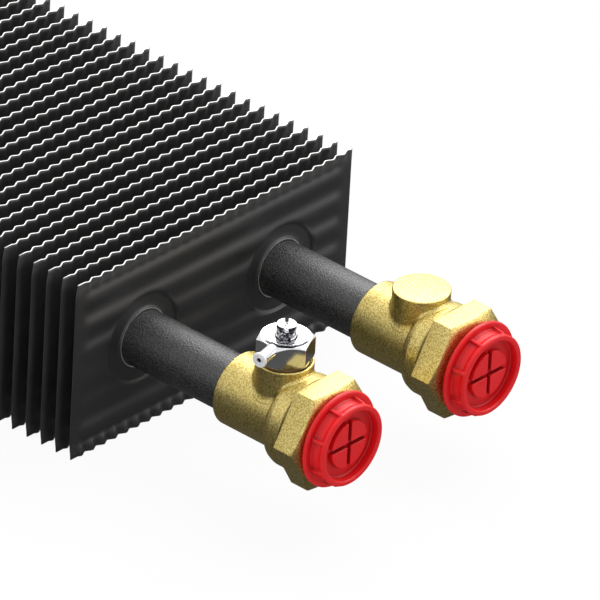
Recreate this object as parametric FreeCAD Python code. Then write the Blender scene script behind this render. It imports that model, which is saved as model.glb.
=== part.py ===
import FreeCAD, Part
import math
import os

# Finned heating coil of a trench convector, in millimetres.
# +X runs along the tubes towards the two fittings, +Y across the coil to the return tube, +Z up.
# The origin is the middle of the overall box, on the surface that the fins stand on.

# Fin block
fin_width = 100.0
fin_height = 50.0
fin_thickness = 0.3
fin_pitch = 5.0
fin_count = 61
stack_gap = 0.05            # collar end to the face of the next fin
expansion_gap = 0.1         # tube to fin collar, where the real tube is expanded tight

# Pressing of the two end fins
rib_pitch = 7.5
rib_depth = 0.7             # crest to trough of the horizontal ribs
rib_end_margin = 3.0        # flat strip left at each side edge
rib_run_out = 4.0           # length over which a rib fades into that strip
rib_steps = 8               # straight steps in one rib pitch
ripple_pitch = 4.0
ripple_depth = 0.92         # crest to trough of the upright ripples along top and bottom edge
ripple_flat = 0.16          # share of one ripple that is flat at its crest
ripple_end_margin = 2.0
dish_radius = 12.0
dish_depth = 0.45
dish_wall = 0.35
lip_radius = 0.35           # rounding of the collar's mouth

# Tubes and return bend
tube_diameter = 15.0
tube_wall = 0.8
tube_spacing = 50.0
stub_length = 32.5          # bare tube between the front fin and the fitting
rear_stub_length = 8.0      # bare tube between the rear fin and its bell
bell_length = 9.0
bell_gap = 0.1              # bend leg to bell, filled by the brazing metal
bend_leg_bare = 3.0         # straight leg of the bend outside the bell
braze_fillet = 0.8

# Brass fitting, measured from its rear face
fitting_length = 32.5
barrel_radius = 9.75
barrel_edge = 0.6
shoulder_start = 18.1
shoulder_root_radius = 10.6
shoulder_radius = 12.45
shoulder_swell = 2.3         # length over which the shoulder swells to its full radius
hexagon_start = 25.2
hexagon_across_flats = 26.0
hexagon_face_radius = 10.5   # flat ring left round the port's mouth
hexagon_face_angle = 20.0    # slope of the face outside that ring
hexagon_rear_chamfer = 0.2
socket_depth = 12.0
socket_gap = 0.1            # tube to socket, the capillary gap for the solder
solder_ring_width = 1.6
solder_ring_depth = 0.7
solder_ring_gap = 0.05
passage_radius = 6.5
port_radius = 9.3           # crest radius of the G 1/2 inside thread
port_depth = 11.0
port_countersink = 0.9

# Boss on top of each fitting
boss_offset = 14.5          # fitting's rear face to the axis of the boss
boss_radius = 7.35
boss_height = 14.55         # tube axis to the top of the boss
boss_edge = 0.35
boss_fillet = 0.8
boss_recess_radius = 6.75
boss_recess_depth = 0.4
vent_thread_radius = 4.86   # G 1/8 outside thread
vent_thread_gap = 0.09
vent_thread_length = 5.3
vent_hole_floor = 0.6       # clear depth under the vent's shank
vent_feed_radius = 2.4

# Air vent, heights from the tube axis
vent_across_flats = 13.0
vent_hexagon_bottom = 15.3
vent_hexagon_top = 21.2
vent_chamfer_radius = 6.3
vent_chamfer_angle = 35.0
vent_turn = -36.9           # direction of one hexagon flat, in degrees from +X
vent_groove_radius = 4.7
vent_groove_width = 0.3
vent_seal_inner_gap = 0.1
vent_seal_radius = 6.3
nozzle_turn = -80.5         # direction of the nozzle, in degrees from +X
nozzle_radius = 1.7
nozzle_bore_radius = 0.6
nozzle_reach = 12.1         # vent axis to the nozzle's end
nozzle_height = 19.7
nozzle_root = 5.6
nozzle_flare = 0.15         # how much thicker the spout is at its root
nozzle_flare_end = 7.6      # vent axis to where the flare has run out
nozzle_spigot_radius = 1.1
nozzle_spigot_start = 3.2
nozzle_gap = 0.05
nozzle_end_groove = 0.25

# Bleed screw
screw_radius = 2.55
screw_top = 24.7
screw_edge = 0.3
screw_gap = 0.07
screw_slot_width = 1.0
screw_slot_depth = 1.2
screw_slot_turn = -48.0
screw_stem_radius = 1.4
screw_land_bottom = 20.0
screw_tip_radius = 0.5
screw_tip_bottom = 16.3
valve_seat_height = 16.9
valve_chamber_radius = 1.8
valve_chamber_top = 18.2
valve_hole_radius = 0.9
seal_groove_bottom = 20.3
seal_groove_height = 0.75
seal_section = 0.62
seal_gap = 0.05

# Red plastic cap, measured outwards from the back of its flange
cap_flange_radius = 12.75
cap_flange_thickness = 1.15
cap_flange_edge = 0.45
cap_collar_root_radius = 10.95
cap_collar_radius = 10.35   # under the rim
cap_rim_radius = 10.8
cap_rim_thickness = 1.2
cap_height = 5.3
cap_mouth_radius = 9.35
cap_lip = 0.5
cap_trough_depth = 2.3
cap_trough_draft = 0.1
cap_floor_thickness = 1.2
cap_shank_radius = 9.1
cap_shank_wall = 1.2
cap_shank_length = 9.5
cap_rib_count = 8
cap_rib_width = 0.75
cap_rib_root_radius = 11.35
cap_rib_radius = 11.0       # at the rim
cap_rib_turn = 22.5
cap_pad_radius = 6.3
cap_pad_sink = 1.1          # pad tops below the rim
cap_pad_edge = 0.15
cap_groove_width = 1.2
supply_cap_gap = 0.25       # flange to port face on the supply side
return_cap_gap = 1.3        # the return cap is screwed in a little less

# Places worked out from the sizes above
tube_radius = tube_diameter / 2
tube_height = fin_height / 2
supply_y = -tube_spacing / 2
return_y = tube_spacing / 2
finned_length = (fin_count - 1) * fin_pitch
bend_radius = tube_spacing / 2
front_reach = stub_length + fitting_length + return_cap_gap + cap_height
bell_end_reach = finned_length + rear_stub_length + bell_length
rear_reach = bell_end_reach + bend_leg_bare + bend_radius + tube_radius
front_fin_x = (front_reach + rear_reach) / 2 - front_reach
rear_fin_x = front_fin_x - finned_length
bell_mouth_x = front_fin_x - bell_end_reach
fitting_x = front_fin_x + stub_length
port_face_x = fitting_x + fitting_length
boss_x = fitting_x + boss_offset
collar_inner_radius = tube_radius + expansion_gap
collar_outer_radius = collar_inner_radius + fin_thickness
x_axis = FreeCAD.Vector(1, 0, 0)
y_axis = FreeCAD.Vector(0, 1, 0)
z_axis = FreeCAD.Vector(0, 0, 1)
centre = FreeCAD.Vector(0, 0, 0)


def rounded_face(corners, upright=False):
    """Face inside an outline of corners (along, out, rounding), in the plane of an axis.

    along lies on X and out on Y, or with upright, along lies on Z and out on X.
    """
    points = [FreeCAD.Vector(along, out, 0) for along, out, rounding in corners]
    if upright:
        points = [FreeCAD.Vector(out, 0, along) for along, out, rounding in corners]
    turns = []
    for index, (along, out, rounding) in enumerate(corners):
        corner = points[index]
        if rounding == 0:
            turns.append((corner, None, corner))
            continue
        to_last = (points[index - 1] - corner).normalize()
        to_next = (points[(index + 1) % len(points)] - corner).normalize()
        half_angle = to_last.getAngle(to_next) / 2
        setback = rounding / math.tan(half_angle)
        inward = (to_last + to_next).normalize()
        middle = corner + inward * (rounding / math.sin(half_angle) - rounding)
        turns.append((corner + to_last * setback, middle, corner + to_next * setback))
    edges = []
    for index, (start, middle, end) in enumerate(turns):
        if middle is not None:
            edges.append(Part.Arc(start, middle, end).toShape())
        next_start = turns[(index + 1) % len(turns)][0]
        if end.distanceToPoint(next_start) > 1e-6:
            edges.append(Part.makeLine(end, next_start))
    return Part.Face(Part.Wire(edges))


def turned(corners):
    """Solid turned about the X axis from corners (x, radius, rounding)."""
    return rounded_face(corners).revolve(centre, x_axis, 360)


def turned_upright(corners):
    """Solid turned about the Z axis from corners (z, radius, rounding)."""
    return rounded_face(corners, upright=True).revolve(centre, z_axis, 360)


def rod(radius, start, end):
    """Round rod along X between two places."""
    return Part.makeCylinder(radius, end - start, FreeCAD.Vector(start, 0, 0), x_axis)


def upright_rod(radius, bottom, top):
    """Round rod along Z between two heights."""
    return Part.makeCylinder(radius, top - bottom, FreeCAD.Vector(0, 0, bottom), z_axis)


def ring(inner_radius, outer_radius, start, end):
    """Plain ring along X."""
    return rod(outer_radius, start, end).cut(rod(inner_radius, start, end))


def hexagon(across_flats, start, end, flat_turn):
    """Hexagonal bar along X with one flat facing flat_turn degrees from +Y towards +Z."""
    corner_radius = across_flats / math.sqrt(3)
    corners = []
    for side in range(7):
        angle = math.radians(flat_turn + 30 + 60 * side)
        corners.append(FreeCAD.Vector(start, corner_radius * math.cos(angle), corner_radius * math.sin(angle)))
    return Part.Face(Part.makePolygon(corners)).extrude(FreeCAD.Vector(end - start, 0, 0))


def placed(shape, x, y, z=tube_height):
    """Copy of a shape moved to a place."""
    moved = shape.copy()
    moved.translate(FreeCAD.Vector(x, y, z))
    return moved


def fin_collar():
    """Collar pressed out of a plain fin, which spaces it from the fin behind."""
    back = -fin_thickness / 2
    end = -(fin_pitch - fin_thickness / 2 - stack_gap)
    return ring(collar_inner_radius, collar_outer_radius, end, back)


def plain_fin():
    """Inner fin: flat sheet with two collared tube holes, at X = 0."""
    corner = FreeCAD.Vector(-fin_thickness / 2, -fin_width / 2, -fin_height / 2)
    sheet = Part.makeBox(fin_thickness, fin_width, fin_height, corner)
    fin = sheet
    for y in (supply_y, return_y):
        hole = rod(collar_inner_radius, -fin_thickness, fin_thickness)
        fin = fin.cut(placed(hole, 0, y, 0)).fuse(placed(fin_collar(), 0, y, 0))
    return fin.removeSplitter()


def rib_offset(z):
    """How far the ribbed sheet stands out of its middle plane at a height."""
    return -rib_depth / 2 * math.cos(2 * math.pi * z / rib_pitch)


# The ribs end on the middle plane, a quarter pitch outside the last full rib
ribbed_half_height = (math.floor(fin_height / 2 / rib_pitch - 0.5) + 0.75) * rib_pitch


def rib_section(y, share):
    """Closed section of the ribbed sheet at y, with the ribs at a share of their depth."""
    step_count = round(2 * ribbed_half_height / rib_pitch * rib_steps)
    heights = [ribbed_half_height * (2 * step / step_count - 1) for step in range(step_count + 1)]
    front = [FreeCAD.Vector(share * rib_offset(z) + fin_thickness / 2, y, z) for z in heights]
    back = [FreeCAD.Vector(share * rib_offset(z) - fin_thickness / 2, y, z) for z in reversed(heights)]
    return Part.makePolygon(front + back + front[:1])


def ribbed_sheet():
    """Middle of a pressed fin: horizontal ribs that run out before the side edges."""
    half = fin_width / 2
    full = half - rib_end_margin - rib_run_out
    stations = ((-half, 0), (rib_end_margin - half, 0), (-full, 1), (full, 1), (half - rib_end_margin, 0), (half, 0))
    return Part.makeLoft([rib_section(y, share) for y, share in stations], True, True)


def ripple_line(side, share, z):
    """Points of one face of the rippled edge strip at height z."""
    wave_count = round((fin_width - 2 * ripple_end_margin) / ripple_pitch)
    length = wave_count * ripple_pitch
    face = side * fin_thickness / 2
    points = [FreeCAD.Vector(face, -fin_width / 2, z)]
    for half_wave in range(2 * wave_count):
        crest = share * ripple_depth / 2 * (1 if half_wave % 2 == 0 else -1)
        for part in (0.5 - ripple_flat, 0.5 + ripple_flat):
            y = -length / 2 + (half_wave + part) * ripple_pitch / 2
            points.append(FreeCAD.Vector(face + crest, y, z))
    points.append(FreeCAD.Vector(face, fin_width / 2, z))
    return points


def rippled_strip(edge_z, root_z):
    """Strip whose ripples are full at edge_z and gone at root_z."""
    sections = []
    for share, z in ((1, edge_z), (0, root_z)):
        front = ripple_line(1, share, z)
        back = ripple_line(-1, share, z)
        sections.append(Part.makePolygon(front + back[::-1] + front[:1]))
    return Part.makeLoft(sections, True, True)


def dished_collar():
    """Round dish pressed into the ribbed sheet round a tube, with its collar."""
    front = fin_thickness / 2
    back = -fin_thickness / 2
    crest = rib_depth / 2 + front
    floor = front - dish_depth
    under = back - dish_depth
    collar_end = -(fin_pitch - fin_thickness / 2 - stack_gap)
    return turned([
        (crest, dish_radius + dish_wall, 0.1),
        (crest, dish_radius, 0.1),
        (floor, dish_radius - dish_wall, 0.1),
        (floor, collar_outer_radius + 2 * lip_radius, 0),
        (front, collar_outer_radius + lip_radius, lip_radius / 2),
        (front, collar_inner_radius, lip_radius),
        (collar_end, collar_inner_radius, 0),
        (collar_end, collar_outer_radius, 0),
        (under, collar_outer_radius, 0),
        (under, dish_radius, 0.1),
        (under + dish_wall, dish_radius + dish_wall, 0),
    ])


def pressed_fin():
    """End fin with ribs, rippled edges and dished collars, at X = 0."""
    fin = ribbed_sheet()
    for side in (1, -1):
        fin = fin.fuse(rippled_strip(side * fin_height / 2, side * ribbed_half_height))
    for y in (supply_y, return_y):
        opening = rod(dish_radius + dish_wall / 2, -fin_pitch, fin_pitch)
        fin = fin.cut(placed(opening, 0, y, 0)).fuse(placed(dished_collar(), 0, y, 0))
    return fin


def coil_tube():
    """Straight tube from its end in the fitting to the bell behind the rear fin."""
    inner = tube_radius - tube_wall
    bell_inner = tube_radius + bell_gap
    bell_outer = bell_inner + tube_wall
    front_end = fitting_x + socket_depth
    bell_root = bell_mouth_x + bell_length
    flare = bell_outer - tube_radius
    return turned([
        (front_end, inner, 0),
        (front_end, tube_radius, 0.2),
        (bell_root + flare, tube_radius, 0),
        (bell_root, bell_outer, 0),
        (bell_mouth_x, bell_outer, 0),
        (bell_mouth_x, bell_inner, 0),
        (bell_root - flare, bell_inner, 0),
        (bell_root, inner, 0),
    ])


def return_bend():
    """U-bend whose two legs plug into the bells of the tubes."""
    leg_end = bell_mouth_x + bell_length - 2 * tube_wall
    bend_x = bell_mouth_x - bend_leg_bare
    start = FreeCAD.Vector(leg_end, supply_y, tube_height)
    turn_in = FreeCAD.Vector(bend_x, supply_y, tube_height)
    apex = FreeCAD.Vector(bend_x - bend_radius, 0, tube_height)
    turn_out = FreeCAD.Vector(bend_x, return_y, tube_height)
    end = FreeCAD.Vector(leg_end, return_y, tube_height)
    path = Part.Wire([
        Part.makeLine(start, turn_in),
        Part.Arc(turn_in, apex, turn_out).toShape(),
        Part.makeLine(turn_out, end),
    ])
    outer = Part.Wire(Part.makeCircle(tube_radius, start, x_axis))
    inner = Part.Wire(Part.makeCircle(tube_radius - tube_wall, start, x_axis))
    return path.makePipeShell([outer], True, False).cut(path.makePipeShell([inner], True, False))


def braze_ring():
    """Ring of brazing metal in the corner between a bend leg and the mouth of its bell, at X = 0."""
    outer = tube_radius + bell_gap + braze_fillet
    return turned([
        (0, tube_radius + bell_gap / 2, 0),
        (0, outer, 0),
        (-braze_fillet, tube_radius + bell_gap / 2, 0),
    ])


def fitting_solder_ring():
    """Preformed solder ring in the groove of the fitting's socket, about the tube axis."""
    inner = tube_radius + solder_ring_gap
    outer = tube_radius + socket_gap + solder_ring_depth - solder_ring_gap
    middle = socket_depth / 2
    half = solder_ring_width / 2 - solder_ring_gap
    return ring(inner, outer, middle - half, middle + half)


def fitting(vented):
    """Forged brass end piece, its rear face at X = 0 and its axis on X."""
    barrel = turned([
        (0, 0, 0),
        (0, barrel_radius, barrel_edge),
        (hexagon_start + 1, barrel_radius, 0),
        (hexagon_start + 1, 0, 0),
    ])
    boss = upright_rod(boss_radius, 0, boss_height)
    boss.translate(FreeCAD.Vector(boss_offset, 0, 0))
    body = barrel.fuse(boss)
    body = body.makeFillet(boss_fillet, [edge for edge in body.Edges if is_boss_root(edge)])
    body = body.makeChamfer(boss_edge, [edge for edge in body.Edges if is_boss_rim(edge)])
    shoulder = turned([
        (shoulder_start, 0, 0),
        (shoulder_start, barrel_radius - 0.1, 0),
        (shoulder_start + 0.2, shoulder_root_radius, 0.3),
        (shoulder_start + shoulder_swell, shoulder_radius, 2.0),
        (hexagon_start + 1, shoulder_radius, 0),
        (hexagon_start + 1, 0, 0),
    ])
    corner_radius = hexagon_across_flats / math.sqrt(3)
    slope = math.tan(math.radians(hexagon_face_angle)) * (corner_radius - hexagon_face_radius)
    double_cone = turned([
        (hexagon_start, 0, 0),
        (hexagon_start, corner_radius - hexagon_rear_chamfer, 0),
        (hexagon_start + hexagon_rear_chamfer, corner_radius, 0),
        (fitting_length - slope, corner_radius, 0),
        (fitting_length, hexagon_face_radius, 0),
        (fitting_length, 0, 0),
    ])
    nut = hexagon(hexagon_across_flats, hexagon_start, fitting_length, 90).common(double_cone)
    body = body.fuse(shoulder).fuse(nut)
    groove_start = (socket_depth - solder_ring_width) / 2
    groove_radius = tube_radius + socket_gap + solder_ring_depth
    port_start = fitting_length - port_depth
    for hollow in (
        rod(tube_radius + socket_gap, -1, socket_depth),
        rod(groove_radius, groove_start, groove_start + solder_ring_width),
        rod(passage_radius, socket_depth, port_start),
        rod(port_radius, port_start, fitting_length + 1),
        Part.makeCone(port_radius, port_radius + port_countersink, port_countersink,
                      FreeCAD.Vector(fitting_length - port_countersink, 0, 0), x_axis),
    ):
        body = body.cut(hollow)
    if vented:
        floor = boss_height - vent_thread_length - vent_hole_floor
        for hollow in (
            upright_rod(vent_thread_radius + vent_thread_gap, floor, boss_height + 1),
            upright_rod(boss_recess_radius, boss_height - boss_recess_depth, boss_height + 1),
            upright_rod(vent_feed_radius, 0, boss_height),
        ):
            hollow.translate(FreeCAD.Vector(boss_offset, 0, 0))
            body = body.cut(hollow)
    return body.removeSplitter()


def is_boss_root(edge):
    """Edge where the boss leaves the round barrel."""
    for place in (edge.FirstParameter, (edge.FirstParameter + edge.LastParameter) / 2, edge.LastParameter):
        point = edge.valueAt(place)
        from_boss = math.hypot(point.x - boss_offset, point.y)
        if abs(from_boss - boss_radius) > 0.01 or not 1 < point.z < boss_height - 1:
            return False
    return True


def is_boss_rim(edge):
    """Edge round the top of the boss."""
    box = edge.BoundBox
    return abs(box.ZMin - boss_height) < 0.01 and abs(box.ZMax - boss_height) < 0.01


def vent_form():
    """Outer form of the vent's hexagon, upright at its place over the tube axis."""
    height = vent_hexagon_top - vent_hexagon_bottom
    corner_radius = vent_across_flats / math.sqrt(3)
    slope = math.tan(math.radians(vent_chamfer_angle)) * (corner_radius - vent_chamfer_radius)
    block = hexagon(vent_across_flats, 0, height, 0)
    block.rotate(centre, y_axis, -90)
    block.rotate(centre, z_axis, vent_turn)
    block.translate(FreeCAD.Vector(0, 0, vent_hexagon_bottom))
    cone = turned_upright([
        (vent_hexagon_bottom, 0, 0),
        (vent_hexagon_bottom, corner_radius - 0.3, 0),
        (vent_hexagon_bottom + 0.3, corner_radius, 0),
        (vent_hexagon_top - slope, corner_radius, 0),
        (vent_hexagon_top, vent_chamfer_radius, 0),
        (vent_hexagon_top, 0, 0),
    ])
    return block.common(cone)


def swung(bar, turn, z):
    """Turn a piece that lies along X about the vent's axis and lift it to a height."""
    bar.rotate(centre, z_axis, turn)
    bar.translate(FreeCAD.Vector(0, 0, z))
    return bar


def radial_rod(radius, start, end, turn, z):
    """Level rod that points away from the vent's axis."""
    return swung(rod(radius, start, end), turn, z)


def vent_body():
    """Chromed hexagon with its threaded shank, screw bore and valve seat."""
    shank_bottom = boss_height - vent_thread_length
    body = vent_form().fuse(upright_rod(vent_thread_radius, shank_bottom, vent_hexagon_bottom))
    bore = screw_radius + screw_gap
    throat = turned_upright([
        (valve_chamber_top, 0, 0),
        (valve_chamber_top, valve_chamber_radius, 0),
        (valve_seat_height + 0.2, valve_chamber_radius, 0),
        (valve_seat_height - valve_chamber_radius + valve_hole_radius, valve_hole_radius, 0),
        (shank_bottom - 1, valve_hole_radius, 0),
        (shank_bottom - 1, 0, 0),
    ])
    mouth = turned_upright([
        (vent_hexagon_top + 0.1, 0, 0),
        (vent_hexagon_top + 0.1, bore + 0.4, 0),
        (vent_hexagon_top - 0.3, bore, 0),
        (vent_hexagon_top - 0.3, 0, 0),
    ])
    groove_bottom = vent_hexagon_top - vent_groove_width
    groove = upright_rod(vent_groove_radius + vent_groove_width, groove_bottom, vent_hexagon_top + 1)
    groove = groove.cut(upright_rod(vent_groove_radius, groove_bottom, vent_hexagon_top + 1))
    for hollow in (
        upright_rod(bore, valve_chamber_top, vent_hexagon_top + 1),
        throat,
        mouth,
        groove,
        radial_rod(nozzle_spigot_radius + nozzle_gap, 0, nozzle_reach, nozzle_turn, nozzle_height),
    ):
        body = body.cut(hollow)
    return body


def vent_nozzle():
    """Small spout that stands out of the vent's hexagon."""
    outside = turned([
        (nozzle_root, 0, 0),
        (nozzle_root, nozzle_radius + nozzle_flare, 0),
        (nozzle_flare_end, nozzle_radius, 0),
        (nozzle_reach, nozzle_radius, 0),
        (nozzle_reach, 0, 0),
    ])
    outside = swung(outside, nozzle_turn, nozzle_height).cut(vent_form())
    spigot = radial_rod(nozzle_spigot_radius, nozzle_spigot_start, nozzle_reach, nozzle_turn, nozzle_height)
    channel = radial_rod(nozzle_bore_radius, 0, nozzle_reach + 1, nozzle_turn, nozzle_height)
    ring_start = nozzle_reach - nozzle_end_groove
    ring_radius = (nozzle_radius + nozzle_bore_radius) / 2
    mark = radial_rod(ring_radius + nozzle_end_groove / 2, ring_start, nozzle_reach + 1, nozzle_turn, nozzle_height)
    core = radial_rod(ring_radius - nozzle_end_groove / 2, ring_start, nozzle_reach + 1, nozzle_turn, nozzle_height)
    return outside.fuse(spigot).cut(channel).cut(mark.cut(core))


def vent_seal():
    """Flat gasket between the vent's hexagon and the recess in the boss."""
    bottom = boss_height - boss_recess_depth
    outer = upright_rod(vent_seal_radius, bottom, vent_hexagon_bottom)
    return outer.cut(upright_rod(vent_thread_radius + vent_seal_inner_gap, bottom, vent_hexagon_bottom))


def bleed_screw():
    """Slotted screw whose tip closes the valve seat."""
    groove_top = seal_groove_bottom + seal_groove_height
    groove_radius = screw_radius - seal_section - seal_gap
    body = turned_upright([
        (screw_top, 0, 0),
        (screw_top, screw_radius, screw_edge),
        (groove_top, screw_radius, 0),
        (groove_top, groove_radius, 0),
        (seal_groove_bottom, groove_radius, 0),
        (seal_groove_bottom, screw_radius, 0),
        (screw_land_bottom, screw_radius, 0),
        (screw_land_bottom, screw_stem_radius, 0),
        (screw_tip_bottom + screw_stem_radius - screw_tip_radius, screw_stem_radius, 0),
        (screw_tip_bottom, screw_tip_radius, 0),
        (screw_tip_bottom, 0, 0),
    ])
    corner = FreeCAD.Vector(-2 * screw_radius, -screw_slot_width / 2, screw_top - screw_slot_depth)
    slot = Part.makeBox(4 * screw_radius, screw_slot_width, 2 * screw_slot_depth, corner)
    slot.rotate(centre, z_axis, screw_slot_turn)
    return body.cut(slot)


def bleed_screw_seal():
    """O-ring in the groove of the bleed screw."""
    middle = FreeCAD.Vector(0, 0, seal_groove_bottom + seal_groove_height / 2)
    return Part.makeTorus(screw_radius - seal_section / 2, seal_section / 2, middle, z_axis)


def cap_rib(rim_start):
    """Tapered grip rib between the flange and the rim of a cap, standing towards +Y."""
    foot = (cap_mouth_radius + cap_rim_radius) / 2 - cap_lip
    corners = [
        (cap_flange_thickness - 0.1, foot, 0),
        (cap_flange_thickness - 0.1, cap_rib_root_radius, 0),
        (rim_start + 0.4, cap_rib_radius, 0),
        (rim_start + 0.4, foot, 0),
    ]
    rib = rounded_face(corners).extrude(FreeCAD.Vector(0, 0, cap_rib_width))
    rib.translate(FreeCAD.Vector(0, 0, -cap_rib_width / 2))
    return rib


def cap():
    """Protective plug of a port, the back of its flange at X = 0."""
    rim_start = cap_height - cap_rim_thickness
    blend = cap_rim_radius - cap_collar_radius
    trough = cap_height - cap_trough_depth
    wall_inside = cap_mouth_radius - cap_trough_draft
    shank_inside = cap_shank_radius - cap_shank_wall
    shell = turned([
        (-cap_shank_length, shank_inside, 0),
        (-cap_shank_length, cap_shank_radius, 0.4),
        (0, cap_shank_radius, 0),
        (0, cap_flange_radius, cap_flange_edge),
        (cap_flange_thickness, cap_flange_radius, cap_flange_edge),
        (cap_flange_thickness, cap_collar_root_radius, 0.3),
        (rim_start - blend, cap_collar_radius, 0),
        (rim_start, cap_rim_radius, 0.2),
        (cap_height, cap_rim_radius, cap_lip),
        (cap_height, cap_mouth_radius, cap_lip),
        (trough, wall_inside, 0.4),
        (trough, 0, 0),
        (trough - cap_floor_thickness, 0, 0),
        (trough - cap_floor_thickness, shank_inside, 0.5),
    ])
    for index in range(cap_rib_count):
        rib = cap_rib(rim_start)
        rib.rotate(centre, x_axis, cap_rib_turn + index * 360 / cap_rib_count)
        shell = shell.fuse(rib)
    pad_top = cap_height - cap_pad_sink
    pads = turned([
        (trough - cap_floor_thickness / 2, 0, 0),
        (trough - cap_floor_thickness / 2, cap_pad_radius, 0),
        (pad_top, cap_pad_radius, cap_pad_edge),
        (pad_top, 0, 0),
    ])
    for turn in (0, 90):
        groove = Part.makeBox(cap_height, 4 * cap_pad_radius, cap_groove_width,
                              FreeCAD.Vector(trough, -2 * cap_pad_radius, -cap_groove_width / 2))
        groove.rotate(centre, x_axis, turn)
        pads = pads.cut(groove)
    return shell.fuse(pads)


def inner_fins():
    """All fins between the two end fins, each its own sheet."""
    fin = plain_fin()
    return [placed(fin, front_fin_x - index * fin_pitch, 0) for index in range(1, fin_count - 1)]


def write(name, shapes):
    """Write one piece, or a group of equal pieces, under its own name."""
    shape = shapes[0] if len(shapes) == 1 else Part.makeCompound(shapes)
    shape.exportStep("parts/" + name + ".step")
    solids = shape.Solids
    print(name, len(solids), "solids", round(sum(solid.Volume for solid in solids), 2), "mm3",
          "valid" if shape.isValid() else "NOT VALID")


def main():
    os.makedirs("parts", exist_ok=True)
    end_fin = pressed_fin()
    tube = coil_tube()
    plug = cap()
    solder_ring = fitting_solder_ring()
    brazing = braze_ring()
    write("front_end_fin", [placed(end_fin, front_fin_x, 0)])
    write("rear_end_fin", [placed(end_fin, rear_fin_x, 0)])
    write("inner_fins", inner_fins())
    write("supply_tube", [placed(tube, 0, supply_y)])
    write("return_tube", [placed(tube, 0, return_y)])
    write("return_bend", [return_bend()])
    write("supply_bend_brazing", [placed(brazing, bell_mouth_x, supply_y)])
    write("return_bend_brazing", [placed(brazing, bell_mouth_x, return_y)])
    write("supply_fitting", [placed(fitting(True), fitting_x, supply_y)])
    write("return_fitting", [placed(fitting(False), fitting_x, return_y)])
    write("supply_solder_ring", [placed(solder_ring, fitting_x, supply_y)])
    write("return_solder_ring", [placed(solder_ring, fitting_x, return_y)])
    write("supply_cap", [placed(plug, port_face_x + supply_cap_gap, supply_y)])
    write("return_cap", [placed(plug, port_face_x + return_cap_gap, return_y)])
    write("vent_body", [placed(vent_body(), boss_x, supply_y)])
    write("vent_nozzle", [placed(vent_nozzle(), boss_x, supply_y)])
    write("vent_seal", [placed(vent_seal(), boss_x, supply_y)])
    write("bleed_screw", [placed(bleed_screw(), boss_x, supply_y)])
    write("bleed_screw_seal", [placed(bleed_screw_seal(), boss_x, supply_y)])


main()
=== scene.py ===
# %% [markdown]
# This lesson dresses the finned coil of a trench convector. Its solids are already there, as a fixed frame.
# Every cell takes one piece or one finish, says how it is made, and models it as a surface worked out from
# a formula. Lengths are in millimetres, and MM turns them into metres.

# %% Load the fixed frame
from math import acos, asin, cos, hypot, pi, radians, sin, sqrt, tan

import bmesh
import bpy
import numpy as np
from mathutils import Matrix, Vector


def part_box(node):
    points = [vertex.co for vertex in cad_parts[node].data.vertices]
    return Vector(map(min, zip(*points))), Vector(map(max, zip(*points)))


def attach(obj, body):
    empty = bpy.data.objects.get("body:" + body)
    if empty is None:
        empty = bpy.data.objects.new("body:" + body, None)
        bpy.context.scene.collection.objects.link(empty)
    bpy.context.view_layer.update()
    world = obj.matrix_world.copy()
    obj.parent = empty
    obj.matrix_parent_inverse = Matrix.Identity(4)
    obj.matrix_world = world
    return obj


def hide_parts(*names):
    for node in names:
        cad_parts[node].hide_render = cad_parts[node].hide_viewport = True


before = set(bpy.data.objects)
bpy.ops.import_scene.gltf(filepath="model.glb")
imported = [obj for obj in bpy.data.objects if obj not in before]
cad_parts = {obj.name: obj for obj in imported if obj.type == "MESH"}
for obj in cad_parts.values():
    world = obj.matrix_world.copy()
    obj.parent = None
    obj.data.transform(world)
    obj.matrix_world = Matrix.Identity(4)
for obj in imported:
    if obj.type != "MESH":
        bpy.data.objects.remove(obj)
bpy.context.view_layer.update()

MM = 0.001
scene = bpy.context.scene


def added(name, data):
    """New object in the scene."""
    made = bpy.data.objects.new(name, data)
    scene.collection.objects.link(made)
    return made


def ends_x(node):
    """Lowest and highest X of a CAD node, in millimetres."""
    return [corner[0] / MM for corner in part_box(node)]


TUBE_RADIUS = 7.5
TUBE_WALL = 0.8
STUB_LENGTH = 32.5
FIN_PITCH = 5.0
FITTING_X, PORT_X = ends_x("supply_fitting")
BOSS_OFFSET = 14.5
BOSS_X = FITTING_X + BOSS_OFFSET
FIN_COUNT = 61
FRONT_FIN_X = FITTING_X - STUB_LENGTH
REAR_FIN_X = FRONT_FIN_X - (FIN_COUNT - 1) * FIN_PITCH
SUPPLY_Y, RETURN_Y = -25.0, 25.0
SIDES = (("supply", SUPPLY_Y), ("return", RETURN_Y))
TUBE_Z = 25.0
print("front fin at x", round(FRONT_FIN_X, 3), "mm, ports at x", round(PORT_X, 3), "mm")

# %% [markdown]
# The camera comes first, because everything is judged through it. A long lens far away gives nearly
# parallel lines. Its place follows from two angles, a small roll and its aim.

# %% Set up the camera
LENS_MM = 634.16
CAMERA_DISTANCE = 2634.5
CAMERA_AIM = Vector((FRONT_FIN_X + 14.26, 17.06, TUBE_Z))
azimuth, elevation, roll = (radians(angle) for angle in (41.010, 30.517, 3.211))
back = Vector((sin(azimuth) * cos(elevation), -cos(azimuth) * cos(elevation), sin(elevation)))
level_right = Vector((cos(azimuth), sin(azimuth), 0))
level_up = back.cross(level_right)
right = level_right * cos(roll) + level_up * sin(roll)
up = back.cross(right)
camera = added("camera", bpy.data.cameras.new("camera"))
camera.data.lens = LENS_MM
camera.data.clip_end = 20
camera.matrix_world = Matrix.LocRotScale((CAMERA_AIM + back * CAMERA_DISTANCE) * MM,
                                         Matrix((right, up, back)).transposed(), None)
scene.camera = camera
print("camera at", [round(value, 3) for value in camera.location])

# %% [markdown]
# Nearly every piece is a grid of points: rows along one parameter and columns along another. A closed grid
# joins its last row or column to its first. Several grids can form one piece. Points that coincide, as at a
# pole or a seam, are merged, and normals worked out afresh face outwards.

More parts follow.
